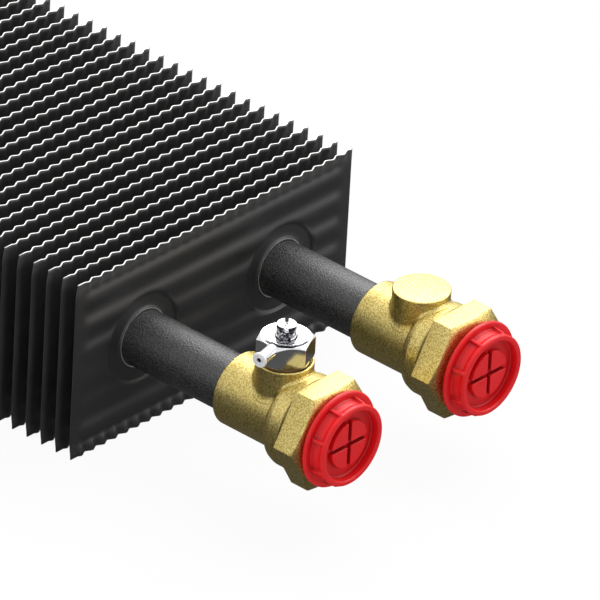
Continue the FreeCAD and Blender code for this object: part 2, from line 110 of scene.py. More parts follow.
# %% Mesh helpers
def grid(points, closed_rows=False, closed_columns=True, keep=None):
    """Points (rows, columns, 3) and the corner numbers of the four-sided cells between them."""
    rows, columns = points.shape[:2]
    numbers = np.arange(rows * columns).reshape(rows, columns)
    if closed_rows:
        numbers = np.vstack([numbers, numbers[:1]])
    if closed_columns:
        numbers = np.hstack([numbers, numbers[:, :1]])
    cells = np.stack([numbers[:-1, :-1], numbers[:-1, 1:], numbers[1:, 1:], numbers[1:, :-1]], axis=-1)
    if keep is not None:
        cells = cells[keep]
    return points.reshape(-1, 3), cells.reshape(-1, 4)


def joined(grids):
    """One list of points and one of cells from several grids."""
    starts = np.cumsum([0] + [len(points) for points, cells in grids[:-1]])
    points = np.concatenate([points for points, cells in grids])
    cells = np.concatenate([piece[1] + start for start, piece in zip(starts, grids)])
    return points, cells


def ready_piece(name, mesh, node, material, body, sharp_angle):
    """Object of one finish with smooth faces, riding on a body in place of a CAD node."""
    mesh.polygons.foreach_set("use_smooth", np.ones(len(mesh.polygons), dtype=bool))
    mesh.set_sharp_from_angle(angle=radians(sharp_angle))
    mesh.materials.clear()
    mesh.materials.append(material)
    piece = added(name, mesh)
    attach(piece, body)
    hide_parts(node)
    print(name, len(mesh.vertices), "points")
    return piece


def make_piece(name, grids, node, material, body="coil", sharp_angle=35, closed=True):
    """Piece from grids in millimetres. Only a closed one can turn its own faces outwards."""
    points, cells = joined(grids)
    mesh = bpy.data.meshes.new(name)
    mesh.vertices.add(len(points))
    mesh.vertices.foreach_set("co", (points * MM).ravel())
    mesh.loops.add(cells.size)
    mesh.loops.foreach_set("vertex_index", cells.ravel())
    mesh.polygons.add(len(cells))
    mesh.polygons.foreach_set("loop_start", np.arange(0, cells.size, 4))
    mesh.update(calc_edges=True)
    loose = bmesh.new()
    loose.from_mesh(mesh)
    bmesh.ops.remove_doubles(loose, verts=loose.verts, dist=2e-6)
    if closed:
        bmesh.ops.recalc_face_normals(loose, faces=loose.faces)
    loose.to_mesh(mesh)
    loose.free()
    return ready_piece(name, mesh, node, material, body, sharp_angle)


def smoothstep(value):
    """Smooth rise from 0 to 1 as value goes from 0 to 1: 3 v squared minus 2 v cubed."""
    value = np.clip(value, 0, 1)
    return value * value * (3 - 2 * value)


# %% [markdown]
# Turned pieces start from an outline: a few corners, each with its own rounding. The helper puts a true arc
# at every rounded corner and adds points to long runs where a pattern needs them. A second helper carries
# the outline round an axis.

# %% Outline helpers
LEVEL = np.eye(3)  # along X, then sideways Y and up Z
UPRIGHT = np.eye(3)[[2, 0, 1]]  # along Z, then sideways X and Y


def outline(corners, steps=5, longest=None):
    """Open line through corners (along, out, rounding), as an array of points.

    At a rounded corner the centre of the arc lies on the bisector, rounding / sin(half angle) from the
    corner, and the arc is a blend of its two end radii by the sines of the turned angle.
    """
    places = np.array([corner[:2] for corner in corners], float)
    line = [places[:1]]
    for last, place, following, corner in zip(places, places[1:], places[2:], corners[1:-1]):
        rounding = corner[2]
        if rounding == 0:
            line.append(place[None])
            continue
        to_last = (last - place) / np.linalg.norm(last - place)
        to_next = (following - place) / np.linalg.norm(following - place)
        half = acos(np.clip(to_last @ to_next, -1, 1)) / 2
        bisector = (to_last + to_next) / np.linalg.norm(to_last + to_next)
        middle = place + bisector * rounding / sin(half)
        first = place + to_last * rounding / tan(half) - middle
        final = place + to_next * rounding / tan(half) - middle
        turn = pi - 2 * half
        share = np.linspace(0, 1, steps + 1)[:, None]
        arc = first * np.sin((1 - share) * turn) + final * np.sin(share * turn)
        line.append(middle + arc / sin(turn))
    line.append(places[-1:])
    line = np.concatenate(line)
    if longest:
        line = finer(line, longest)
    return line


def finer(line, longest):
    """The same line with points added until no run is longer than longest."""
    runs = np.linalg.norm(np.diff(line, axis=0), axis=1)
    counts = np.maximum(1, np.ceil(runs / longest).astype(int))
    starts = np.repeat(np.arange(len(runs)), counts)
    firsts = np.repeat(np.cumsum(counts) - counts, counts)
    share = (np.arange(len(starts)) - firsts) / counts[starts]
    added = line[starts] + (line[starts + 1] - line[starts]) * share[:, None]
    return np.vstack([added, line[-1:]])


def turned(along, out, angles, place, axes=LEVEL):
    """Rings about an axis: place + along x axis + out x (cos x sideways + sin x up)."""
    along, out, angles = np.broadcast_arrays(along, out, angles)
    along, out, angles = along[..., None], out[..., None], angles[..., None]
    return place + along * axes[0] + out * (np.cos(angles) * axes[1] + np.sin(angles) * axes[2])


def ring_angles(count):
    """Angles evenly round a full turn, the last one left to the seam."""
    return np.arange(count) * 2 * pi / count


def turned_grid(line, count, place, axes=LEVEL, closed_rows=False):
    """Grid of a plain turned surface from an outline of (along, out)."""
    points = turned(line[:, :1], line[:, 1:], ring_angles(count)[None], place, axes)
    return grid(points, closed_rows)


def stacked(blocks, angles):
    """The rows of several blocks as one array of along and one of out, a column for every angle.

    A block is an outline, the same at every angle, or a pair of arrays of its own.
    """
    pairs = [(block[:, :1], block[:, 1:]) if isinstance(block, np.ndarray) else block for block in blocks]
    wide = [[np.broadcast_to(rows, (len(pair[0]), angles.size)) for rows in pair] for pair in pairs]
    return [np.vstack(rows) for rows in zip(*wide)]


# %% [markdown]
# A small class wraps the number that comes out of a shader node, so that shader maths can be written as
# ordinary Python: mask * 0.5 or 1 - mask adds the Math nodes by itself. A second class stands for one
# finish and adds every other kind of node through one method.

# %% Material helpers
class Field:
    """A number that varies over a surface, with Python's operators."""

    def __init__(self, finish, socket):
        self.finish = finish
        self.socket = socket

    def maths(self, operation, first, second=0.0):
        return self.finish.node("Math", {"operation": operation}, {0: first, 1: second})

    __add__ = __radd__ = lambda self, other: self.maths("ADD", self, other)
    __sub__ = lambda self, other: self.maths("SUBTRACT", self, other)
    __rsub__ = lambda self, other: self.maths("SUBTRACT", other, self)
    __mul__ = __rmul__ = lambda self, other: self.maths("MULTIPLY", self, other)
    __gt__ = lambda self, other: self.maths("GREATER_THAN", self, other)
    __abs__ = lambda self: self.maths("ABSOLUTE", self)
    most = lambda self, other: self.maths("MAXIMUM", self, other)


class Finish:
    """One material, or the world, built from nodes."""

    def __init__(self, name, owner=None):
        self.material = owner or bpy.data.materials.new(name)
        self.material.use_nodes = True
        self.tree = self.material.node_tree
        self.tree.nodes.clear()
        if owner is None:
            self.place = self.node("TexCoord", output="Object")

    def node(self, kind, settings=None, sockets=None, output=0):
        """Adds a node, fills or links its sockets and gives one output as a field."""
        made = self.tree.nodes.new("ShaderNode" + kind)
        for name, value in (settings or {}).items():
            setattr(made, name, value)
        for name, value in (sockets or {}).items():
            if isinstance(value, Field):
                self.tree.links.new(value.socket, made.inputs[name])
            else:
                made.inputs[name].default_value = value
        return None if output is None else Field(self, made.outputs[output])

    def noise(self, size_mm, detail=3, roughness=0.5, stretch=None):
        """Noise from 0 to 1 whose blotches are about size_mm wide."""
        place = self.place
        if stretch:
            place = self.node("Mapping", {}, {"Vector": self.place, "Scale": stretch})
        return self.node("TexNoise", {}, {"Vector": place, "Scale": 1 / (size_mm * MM), "Detail": detail,
                                          "Roughness": roughness})

    def ramp(self, value, low, high):
        """0 where value is below low, 1 above high, smooth between."""
        return self.node("MapRange", {"interpolation_type": "SMOOTHSTEP"},
                         {"Value": value, "From Min": low, "From Max": high})

    def mix(self, share, first, second):
        """Colour between two, each a field or three values from 0 to 255 as a screen shows them."""
        first, second = (tone if isinstance(tone, Field) else colour(*tone) for tone in (first, second))
        return self.node("Mix", {"data_type": "RGBA"}, {0: share, 6: first, 7: second}, output=2)

    def bump(self, height, depth_mm):
        """Normal bent by a height of 0 to 1 that stands for depth_mm."""
        return self.node("Bump", {}, {"Height": height, "Distance": depth_mm * MM})

    def along(self, axis):
        """The place along one axis, in metres."""
        return self.node("SeparateXYZ", {}, {0: self.place}, output=axis)

    def from_tube(self):
        """Squared distance from the nearer tube's axis; the size of y stands for both tubes."""
        from_side = abs(self.along("Y")) - RETURN_Y * MM
        from_level = self.along("Z") - TUBE_Z * MM
        return from_side * from_side + from_level * from_level

    def within(self, squared, reach_mm):
        """1 where a squared distance is within a reach, 0 past it."""
        return 1 - (squared > (reach_mm * MM) ** 2)

    def line(self, place, place_mm, core_mm, edge_mm):
        """1 on a line at one place, falling to 0 between two distances from it."""
        return 1 - self.ramp(abs(place - place_mm * MM), core_mm * MM, edge_mm * MM)

    def corners(self, reach_mm, low=0.45, high=0.95):
        """Painted shade mask: 1 in inner corners and grooves narrower than about the reach, 0 on open
        surfaces.
        """
        reach = {"Distance": reach_mm * MM}
        openness = self.node("AmbientOcclusion", {"samples": 8, "only_local": True}, reach, output="AO")
        return 1 - self.ramp(openness, low, high)

    def done(self, sockets):
        """Closes the material with a principled shader."""
        return self.closed(self.node("BsdfPrincipled", {}, sockets))

    def closed(self, shader, kind="OutputMaterial"):
        """Links a shader to the output and names the finish."""
        self.node(kind, {}, {"Surface": shader}, output=None)
        print("finish", self.material.name)
        return self.material


def colour(red, green, blue):
    """Shader colour from the 0 to 255 values that a screen shows."""
    shown = np.array([red, green, blue]) / 255
    linear = np.where(shown <= 0.04045, shown / 12.92, ((shown + 0.055) / 1.055) ** 2.4)
    return (*linear, 1.0)


# %% [markdown]
# The fins are stamped from black painted aluminium strip. The strip is painted before it is cut, so the top
# and bottom edges stay bare and draw the bright wavy lines of the coil. Only these cut faces lie at the
# full half height. The lips of the collars are painted lighter and half metallic all round, as a painted
# highlight, and the rippled strip along the top is painted greyer, as painted light.

# %% Fin paint
CUT_EDGE = 24.99
LIP_REACH, LIP_HIGHLIGHT = 8.0, 0.45
TOP_PAINTED_LIGHT_STRIP = (19.5, 23.5)


def fin_paint():
    finish = Finish("fin_paint")
    above_middle = finish.along("Z") - TUBE_Z * MM
    # Painted highlight: the lips of the collars are painted lighter and half metallic all round.
    lip_painted_highlight = finish.within(finish.from_tube(), LIP_REACH) * LIP_HIGHLIGHT
    bare = (abs(above_middle) > CUT_EDGE * MM).most(lip_painted_highlight)
    # Painted light: the rippled strip along the top is painted a lighter grey, (70, 70, 71) below.
    top_painted_light = finish.ramp(above_middle, *(height * MM for height in TOP_PAINTED_LIGHT_STRIP))
    grain = finish.noise(0.35)
    cloud = finish.noise(14)
    dark = finish.mix(cloud, (34, 34, 35), (44, 44, 44))
    dark = finish.mix(top_painted_light, dark, (70, 70, 71))
    return finish.done({
        "Base Color": finish.mix(bare, dark, (236, 236, 232)),
        "Metallic": bare * 0.55,
        "Roughness": 0.36 + cloud * 0.10 + grain * 0.06 + bare * 0.05,
        "Specular IOR Level": 0.7,
        "Normal": finish.bump(grain, 0.012),
    })


FIN_PAINT = fin_paint()

# %% [markdown]
# The tubes are sprayed with the same black, but the spray lies on them with a fine grain. One noise of
# about half a millimetre darkens the hollows, bends the surface and varies its gloss.

# %% Tube paint
def tube_paint():
    finish = Finish("tube_paint")
    grain = finish.noise(0.45, detail=4, roughness=0.6)
    cloud = finish.noise(9)
    tone = finish.mix(cloud, (46, 46, 48), (56, 56, 58))
    return finish.done({
        "Base Color": finish.mix(finish.ramp(grain, 0.42, 0.60), (6, 6, 7), tone),
        "Roughness": 0.24 + grain * 0.22,
        "Specular IOR Level": 1.0,
        "Normal": finish.bump(grain, 0.2),
    })


TUBE_PAINT = tube_paint()

# %% [markdown]
# The fittings are hot-forged brass, sand-blasted all over, which leaves shallow pits. Two sizes of noise
# make the pits, and a third, broad one lets the tone drift. Shade is painted dark brown in the crease
# before the shoulder, in the step behind the hexagon and in inner corners.

# %% Sand-blasted brass
CREASE_OFFSET, CREASE_REACH = 17.8, 10.3
STEP_OFFSET, STEP_REACH = 24.9, 12.7


def blasted_brass():
    finish = Finish("blasted_brass")
    pits = finish.noise(0.4, roughness=0.65)
    dents = finish.noise(1.0, detail=2)
    cloud = finish.noise(7)
    across, from_tube = finish.along("X"), finish.from_tube()
    # Painted shade: dark lines in the crease before the shoulder and in the step behind the hexagon.
    painted_crease_shade = finish.line(across, FITTING_X + CREASE_OFFSET, 0.15, 0.45)
    painted_step_shade = finish.line(across, FITTING_X + STEP_OFFSET, 0.4, 0.9)
    painted_crease_shade = painted_crease_shade * finish.within(from_tube, CREASE_REACH)
    painted_step_shade = painted_step_shade * finish.within(from_tube, STEP_REACH)
    shaded = painted_crease_shade.most(painted_step_shade).most(finish.corners(2.0) * 0.8)
    tone = finish.mix(cloud, (233, 213, 134), (242, 225, 153))
    speckled = finish.mix(finish.ramp(pits, 0.38, 0.60), (186, 160, 84), tone)
    return finish.done({
        # Painted shade: the base colour falls to a dark brown in the crease, the step and inner corners.
        "Base Color": finish.mix(shaded * 0.8, speckled, (70, 56, 28)),
        "Metallic": 1.0,
        "Roughness": 0.30 + pits * 0.18,
        "Normal": finish.bump(pits + dents * 0.4, 0.07),
    })


BRASS = blasted_brass()

# %% [markdown]
# The vent is turned brass with a bright chrome plating, nearly a mirror. Fine turning marks and broad
# clouds keep it from looking like glass. Two rings on its top carry a painted dark reflection towards the
# ports, the end of the spout is frosted, and the sides of the bleed screw are painted darker than its top,
# as painted shade.

# %% Chrome
PAINTED_DARK_RINGS = ((4.3, 0.2), (5.75, 0.45))
PAINTED_RING_FADE = (1.5, 4.5)
FROST_START = 11.6
SCREW_TOP = TUBE_Z + 24.55


def clouded(name):
    """A new finish with its broad clouds and its bright tone."""
    finish = Finish(name)
    cloud = finish.noise(2.5)
    return finish, cloud, finish.mix(cloud, (224, 225, 228), (238, 238, 238))


def plating(finish, cloud, tone, frost=0.0):
    """Closes a finish as chrome, matt and hardly metallic where frost is 1."""
    marks = finish.noise(0.15, detail=2, stretch=(0.2, 0.2, 3.0))
    return finish.done({
        "Base Color": tone,
        "Metallic": frost * -0.85 + 1,
        "Roughness": 0.07 + cloud * 0.09 + frost * 0.2,
        "Normal": finish.bump(marks, 0.002),
    })


def vent_chrome():
    """Distances from the vent's axis place the painted dark rings and the frosted end of the spout."""
    finish, cloud, tone = clouded("chrome")
    from_x = finish.along("X") - BOSS_X * MM
    from_y = finish.along("Y") - SUPPLY_Y * MM
    from_vent = from_x * from_x + from_y * from_y
    forwards = finish.ramp(from_x - from_y, *(distance * MM for distance in PAINTED_RING_FADE))
    # Painted reflection: two dark rings on the top, only on the side towards the ports.
    for radius, half_width in PAINTED_DARK_RINGS:
        inner, outer = (finish.within(from_vent, radius + side * half_width) for side in (-1, 1))
        tone = finish.mix((outer - inner) * forwards, tone, (34, 34, 38))
    return plating(finish, cloud, tone, 1 - finish.within(from_vent, FROST_START))


def screw_chrome():
    """Painted shade: everything below the screw's top face is darker, in patches."""
    finish, cloud, tone = clouded("screw_chrome")
    # Painted shade: the screw's sides get darker patches, while its top keeps the bright tone.
    patches = finish.ramp(finish.noise(0.7), 0.4, 0.62)
    sides = finish.mix(patches, (52, 52, 56), (186, 186, 190))
    return plating(finish, cloud, finish.mix(finish.along("Z") > SCREW_TOP * MM, sides, tone))


CHROME = vent_chrome()
SCREW_CHROME = screw_chrome()

# %% [markdown]
# The caps are moulded from red polyethylene, slightly waxy with a soft gloss. The surface has a faint peel
# and is duller in patches, and shade is painted as a deeper red in grooves and inner corners.

# %% Red plastic
def red_plastic():
    finish = Finish("red_plastic")
    peel = finish.noise(0.8, detail=2)
    cloud = finish.noise(6)
    red = finish.mix(cloud, (220, 14, 22), (230, 20, 28))
    return finish.done({
        # Painted shade: a deeper red in grooves and inner corners.
        "Base Color": finish.mix(finish.corners(2.4, 0.35, 0.9) * 0.75, red, (120, 6, 14)),
        "Roughness": 0.30 + cloud * 0.12,
        "Specular IOR Level": 0.38,
        "Normal": finish.bump(peel, 0.008),
    })


RED_PLASTIC = red_plastic()

# %% [markdown]
# The small inner pieces get simple finishes: a fibre gasket, a rubber ring and solder.

# %% Small finishes
def dull(name, dark, light, roughness, metallic, grain_mm, depth_mm):
    """Plain finish whose tone and roughness vary with one grain."""
    finish = Finish(name)
    grain = finish.noise(grain_mm)
    return finish.done({
        "Base Color": finish.mix(grain, dark, light),
        "Metallic": metallic,
        "Roughness": roughness + grain * 0.15,
        "Normal": finish.bump(grain, depth_mm),
    })


GASKET = dull("fibre_gasket", (112, 88, 52), (146, 120, 76), 0.7, 0.0, 0.3, 0.02)
RUBBER = dull("black_rubber", (16, 16, 16), (26, 26, 26), 0.55, 0.0, 0.3, 0.01)
SOLDER = dull("solder", (168, 160, 140), (206, 198, 176), 0.35, 1.0, 0.8, 0.03)

# %% [markdown]
# One fin is a thin sheet, so its shape is one height over a flat rectangle. Horizontal ribs stiffen the
# middle, upright ripples run along the top and bottom edges, and a round dish with a rolled collar sits
# round each tube. The grid lines are bent so that rings of cells follow each hole.

# %% The shape of a fin
HALF_WIDTH, HALF_HEIGHT = 50.0, 25.0
SHEET = 0.3
RIB_PITCH, RIB_RISE = 7.5, 0.35
RIB_SIDE_END, RIB_TOP_END, RIB_DISH_END = 48.5, 23.2, 11.9
RIPPLE_PITCH, RIPPLE_COUNT = 4.03, 24
RIPPLE_FOOT, RIPPLE_ROUNDNESS = 20.5, 0.93
RIPPLE_START = -47.5
RIPPLE_END = RIPPLE_START + RIPPLE_COUNT * RIPPLE_PITCH
DISH_RADIUS, DISH_DEPTH, DISH_WALL = 12.0, 0.45, 0.7
HOLE_RADIUS = 8.55
COLLAR_RADIUS = 7.75
LIP = 0.16
COLLAR_END = -4.6
HOLE_BLOCK = 6.6


def fin_height(y, z, ripple_rise):
    """How far the fin's middle surface stands out along X at y, z.

    Ribs are a cosine of z that fades at the sides, round the dishes and in the rippled zone. Ripples are an
    arcsine of a sine of y, which is a triangle wave with rounded corners. They stand forward and grow
    towards the top and bottom edges. The dish takes the surface back to a level floor round each tube.
    """
    from_tube = np.hypot(np.abs(y) - RETURN_Y, z)
    outside = smoothstep((from_tube - DISH_RADIUS + DISH_WALL / 2) / DISH_WALL)
    rib_share = smoothstep((RIB_SIDE_END - np.abs(y)) / 4) * smoothstep((RIB_TOP_END - np.abs(z)) / 2)
    rib_share = rib_share * smoothstep((from_tube - RIB_DISH_END) / 1.2)
    ribs = -RIB_RISE * np.cos(2 * pi * z / RIB_PITCH) * rib_share
    phase = 2 * pi * (y - RIPPLE_START) / RIPPLE_PITCH
    wave = np.arcsin(RIPPLE_ROUNDNESS * np.sin(phase)) / asin(RIPPLE_ROUNDNESS)
    wave = np.where(y < RIPPLE_START, 0, wave)
    wave = np.where(y > RIPPLE_END, -(y - RIPPLE_END) / (HALF_WIDTH - RIPPLE_END), wave)
    near_edge = smoothstep((np.abs(z) - RIPPLE_FOOT) / (HALF_HEIGHT - RIPPLE_FOOT))
    ripples = ripple_rise * (wave + 1) * near_edge
    return (ribs + ripples) * outside - DISH_DEPTH * (1 - outside)


def round_hole(columns, rows, y, z, centre, radii):
    """Bends the grid so that rings of cells follow a round hole, and says which ring each point is on.

    A point's ring number is the larger of its distances across and up, measured in half blocks. Inner
    rings take the radius that radii gives for their number, and further out the grid eases back.
    """
    left = columns[np.argmin(np.abs(columns - centre + HOLE_BLOCK))] - centre
    right_side = columns[np.argmin(np.abs(columns - centre - HOLE_BLOCK))] - centre
    top = np.abs(rows[np.argmin(np.abs(rows - HOLE_BLOCK))])
    across = y - centre
    ring = np.maximum(np.where(across > 0, across / right_side, across / left), np.abs(z) / top)
    distance = np.maximum(np.hypot(across, z), 1e-6)
    wanted = np.interp(ring, *radii)
    ease = smoothstep(ring - radii[0][-2])
    scale = np.where(ring < 1e-6, 1, ((1 - ease) * wanted + ease * distance) / distance)
    return centre + across * scale, z * scale, ring


def fin_grids(columns, rows, radii, ripple_rise):
    """Grids of one fin at X = 0: the sheet with two round holes, and the two collars."""
    y, z = np.meshgrid(columns, rows)
    keep = np.ones((len(rows) - 1, len(columns) - 1), bool)
    hole_rings = []
    for centre in (SUPPLY_Y, RETURN_Y):
        near = np.abs(y - centre) < RETURN_Y
        bent_y, bent_z, ring = round_hole(columns, rows, y, z, centre, radii)
        y, z = np.where(near, bent_y, y), np.where(near, bent_z, z)
        inside = np.where(near, ring, 9) < 1 - 1e-6
        keep &= ~(inside[1:, 1:] | inside[:-1, 1:] | inside[1:, :-1] | inside[:-1, :-1])
        on_edge = near & (np.abs(ring - 1) < 1e-6)
        hole_rings.append(np.sort(np.arctan2(z[on_edge], y[on_edge] - centre)))
    sheet = np.stack([fin_height(y, z, ripple_rise), y, z + TUBE_Z], axis=-1)
    grids = [grid(sheet, closed_columns=False, keep=keep)]
    bend = np.linspace(0, pi, 7)
    lip = np.stack([LIP * np.sin(bend) - LIP, COLLAR_RADIUS + LIP + LIP * np.cos(bend)], axis=-1)
    line = np.vstack([[-DISH_DEPTH, HOLE_RADIUS], lip, [COLLAR_END, COLLAR_RADIUS]])
    for centre, angles in zip((SUPPLY_Y, RETURN_Y), hole_rings):
        collar = turned(line[:, :1], line[:, 1:], angles[None], np.array([0, centre, TUBE_Z]))
        grids.append(grid(collar))
    return grids


def moved(grids, x):
    """The same grids at another place along X."""
    return [(points + [x, 0, 0], cells) for points, cells in grids]


def fin_piece(name, grids, node):
    """Piece of one or more fins, with the sheet's real thickness, half to each side."""
    piece = make_piece(name, grids, node, FIN_PAINT, sharp_angle=50, closed=False)
    solid = piece.modifiers.new("sheet", "SOLIDIFY")
    solid.thickness = SHEET * MM
    solid.offset = 0


# %% [markdown]
# The two end fins are seen full on, so they get a fine grid, with rings of cells packed where the wall of
# the dish drops. The fins between them show mostly their rippled edges: six lines to a ripple, at its
# crests and crossings, and a coarse middle keep fifty-nine of them light.

# %% End fins and inner fins
def end_fin_lines():
    columns = np.linspace(-HALF_WIDTH, HALF_WIDTH, 251)
    rows = np.linspace(-HALF_HEIGHT, HALF_HEIGHT, 126)
    radii = ([1.0, 1.12, 1.5, 1.62, 2.62], [HOLE_RADIUS, 11.2, 12.8, 13.6, 20.0])
    return columns, rows, radii


def inner_fin_lines():
    waves = np.arange(RIPPLE_COUNT)[:, None] + np.array([0, 0.19, 0.31, 0.5, 0.69, 0.81])
    waves = RIPPLE_START + RIPPLE_PITCH * waves
    columns = np.concatenate([[-HALF_WIDTH], waves.ravel(), [RIPPLE_END, HALF_WIDTH]])
    middle = np.linspace(-18.5, 18.5, 21)
    edge = np.array([20.0, 21.4, 22.8, 24.0, HALF_HEIGHT])
    rows = np.concatenate([-edge[::-1], middle, edge])
    radii = ([1.0, 1.2, 1.6, 2.6], [HOLE_RADIUS, 11.4, 13.2, 20.0])
    return columns, rows, radii


end_fin = fin_grids(*end_fin_lines(), ripple_rise=0.46)
for name, x in (("front_end_fin", FRONT_FIN_X), ("rear_end_fin", REAR_FIN_X)):
    fin_piece(name + "_sheet", moved(end_fin, x), name)

inner_fin = fin_grids(*inner_fin_lines(), ripple_rise=0.5)
GROUP = 9
for first in range(1, FIN_COUNT - 1, GROUP):
    members = range(first, min(first + GROUP, FIN_COUNT - 1))
    grids = [piece for number in members for piece in moved(inner_fin, FRONT_FIN_X - number * FIN_PITCH)]
    fin_piece(f"inner_fins_from_{first:02d}", grids, "inner_fins")

# %% [markdown]
# Each tube is one turned outline, out along its outside and back along its bore, with the widened bell at
# the rear. The return bend is a circle carried along two straight legs and a half turn, outside first and
# then bore, so that the wall is real.

# %% Tubes and return bend
BELL_DEPTH, BELL_NECK, BELL_INSET, BELL_GAP = 9.0, 1.0, 0.4, 0.1
BORE_RADIUS = TUBE_RADIUS - TUBE_WALL


def tube_outline():
    """Closed outline of the tube wall, from the mouth of the bell forwards."""
    mouth, front_end = ends_x("supply_tube")
    bell_end = mouth + BELL_DEPTH
    bell_inside = TUBE_RADIUS + BELL_GAP
    bell_outside = bell_inside + TUBE_WALL
    return outline([
        (mouth, bell_inside, 0), (mouth, bell_outside, 0.25),
        (bell_end, bell_outside, 1.2), (bell_end + BELL_NECK, TUBE_RADIUS, 1.2),
        (front_end, TUBE_RADIUS, 0.2), (front_end, BORE_RADIUS, 0.2),
        (bell_end + BELL_NECK - BELL_INSET, BORE_RADIUS, 0.8), (bell_end - BELL_INSET, bell_inside, 0.8),
        (mouth, bell_inside, 0),
    ], steps=4)[:-1]


for side, y in SIDES:
    wall = turned_grid(tube_outline(), 96, np.array([0, y, TUBE_Z]), closed_rows=True)
    make_piece(side + "_tube_wall", [wall], side + "_tube", TUBE_PAINT)


def bend_rings(radius):
    """Rings of one radius along the return bend.

    The path's angle goes from 0 to a half turn; each leg is straight. A ring lies across the path: its
    sideways direction is the path's own right hand, and up is Z.
    """
    rear_end, legs_end = ends_x("return_bend")
    turn_x = rear_end + TUBE_RADIUS + RETURN_Y
    angles = np.linspace(0, pi, 49)
    path_x = np.concatenate([[legs_end], turn_x - RETURN_Y * np.sin(angles), [legs_end]])
    path_y = np.concatenate([[SUPPLY_Y], -RETURN_Y * np.cos(angles), [RETURN_Y]])
    heading = np.concatenate([[0], angles, [pi]])
    sideways = np.stack([-np.sin(heading), -np.cos(heading), 0 * heading], axis=-1)[:, None]
    round_angles = ring_angles(64)[None, :, None]
    centres = np.stack([path_x, path_y, 0 * path_x + TUBE_Z], axis=-1)[:, None]
    upwards = np.array([0, 0, 1.0])
    return centres + radius * (np.cos(round_angles) * sideways + np.sin(round_angles) * upwards)


bend = np.concatenate([bend_rings(TUBE_RADIUS), bend_rings(BORE_RADIUS)[::-1]])
bend = grid(bend, closed_rows=True)
make_piece("return_bend_wall", [bend], "return_bend", TUBE_PAINT)

# %% [markdown]
# Brazing metal is drawn into the bell and leaves a small hollow collar at its mouth. Its outline is a
# concave arc between the bell's face and the bend's leg, and the surface wavers a little round the tube.

# %% Brazed joints
FILLET_SIZE, FILLET_OVERLAP, FILLET_BURY = 0.85, 0.05, 0.3


def brazing_grid(y):
    """Closed ring: a concave arc between two buried corners, its size wavering with the angle."""
    mouth = ends_x("supply_tube")[0] + FILLET_OVERLAP
    share = np.linspace(0, 1, 7)[:, None] * pi / 2
    angles = ring_angles(96)[None]
    size = FILLET_SIZE + 0.08 * np.sin(3 * angles + y) + 0.05 * np.sin(7 * angles)
    along = mouth - size * (1 - np.cos(share))
    out = TUBE_RADIUS - FILLET_OVERLAP + size * (1 - np.sin(share))
    buried = TUBE_RADIUS - FILLET_BURY
    corners = [np.array([[mouth, buried]]), (along, out), (along[-1:], np.array([[buried]]))]
    along, out = stacked(corners, angles)
    return grid(turned(along, out, angles, np.array([0, y, TUBE_Z])), closed_rows=True)


for side, y in SIDES:
    node = side + "_bend_brazing"
    make_piece(node + "_fillet", [brazing_grid(y)], node, TUBE_PAINT)

# %% [markdown]
# A hexagon is not turned, but its radius at every angle is known. The six flats are blended with a high
# power mean, sharp on the flats and rounded at the edges like a forging. A chamfer is a cone, and the
# smaller radius wins, with a soft change between them.

# %% Hexagon radius
def hexagon_radius(angles, flat_radius, flat_turn, power):
    """Distance to a hexagon's outside at each angle.

    flat_radius / (sum over the six flats of max(0, cos(angle - flat)) to the power) to the 1 / power.
    """
    flats = flat_turn + np.arange(6)[:, None] * pi / 3
    reach = np.maximum(0, np.cos(angles.ravel()[None] - flats)) ** power
    return (flat_radius / reach.sum(axis=0) ** (1 / power)).reshape(angles.shape)


def softer_least(first, second, width):
    """Smaller of two values, blended over a width: minus width x log of summed exponentials."""
    least = np.minimum(first, second)
    return least - width * np.log(np.exp((least - first) / width) + np.exp((least - second) / width))


def corner_packed_angles(count, flat_turn, packing=0.72):
    """Angles round a hexagon with most of them near its six corners."""
    even = ring_angles(count)
    return flat_turn + even + packing / 6 * np.sin(6 * even)


# %% [markdown]
# The fitting is forged in one piece: a barrel that takes the tube, a bulging shoulder and the hexagon with
# the port. Rows run out along the outside and back along the inside, and the port carries a real pipe
# thread, a ridge that moves along the axis by one pitch in every turn.

# %% Brass fitting: barrel, hexagon and port
BARREL_RADIUS = 9.75
HEXAGON_START = 25.2
FITTING_LENGTH = 32.5
FLAT_RADIUS = 13.0
FACE_RADIUS = 10.5
FACE_SLOPE = tan(radians(20))
SOCKET_RADIUS, SOCKET_DEPTH = 7.6, 12.0
WATERWAY_RADIUS = 6.5
PORT_START = 21.5
PORT_RADIUS, PORT_MOUTH = 9.3, 10.25
THREAD_PITCH = 1.814
THREAD_DEPTH = 1.1
SHOULDER = [(18.1, BARREL_RADIUS, 0.08), (18.2, 10.75, 0.25), (19.4, 12.0, 1.0), (20.8, 12.45, 1.6),
            (HEXAGON_START, 12.45, 0)]


def outside_rows():
    """Outline of barrel and shoulder."""
    return outline([(0, SOCKET_RADIUS, 0), (0, BARREL_RADIUS, 0.6)] + SHOULDER)


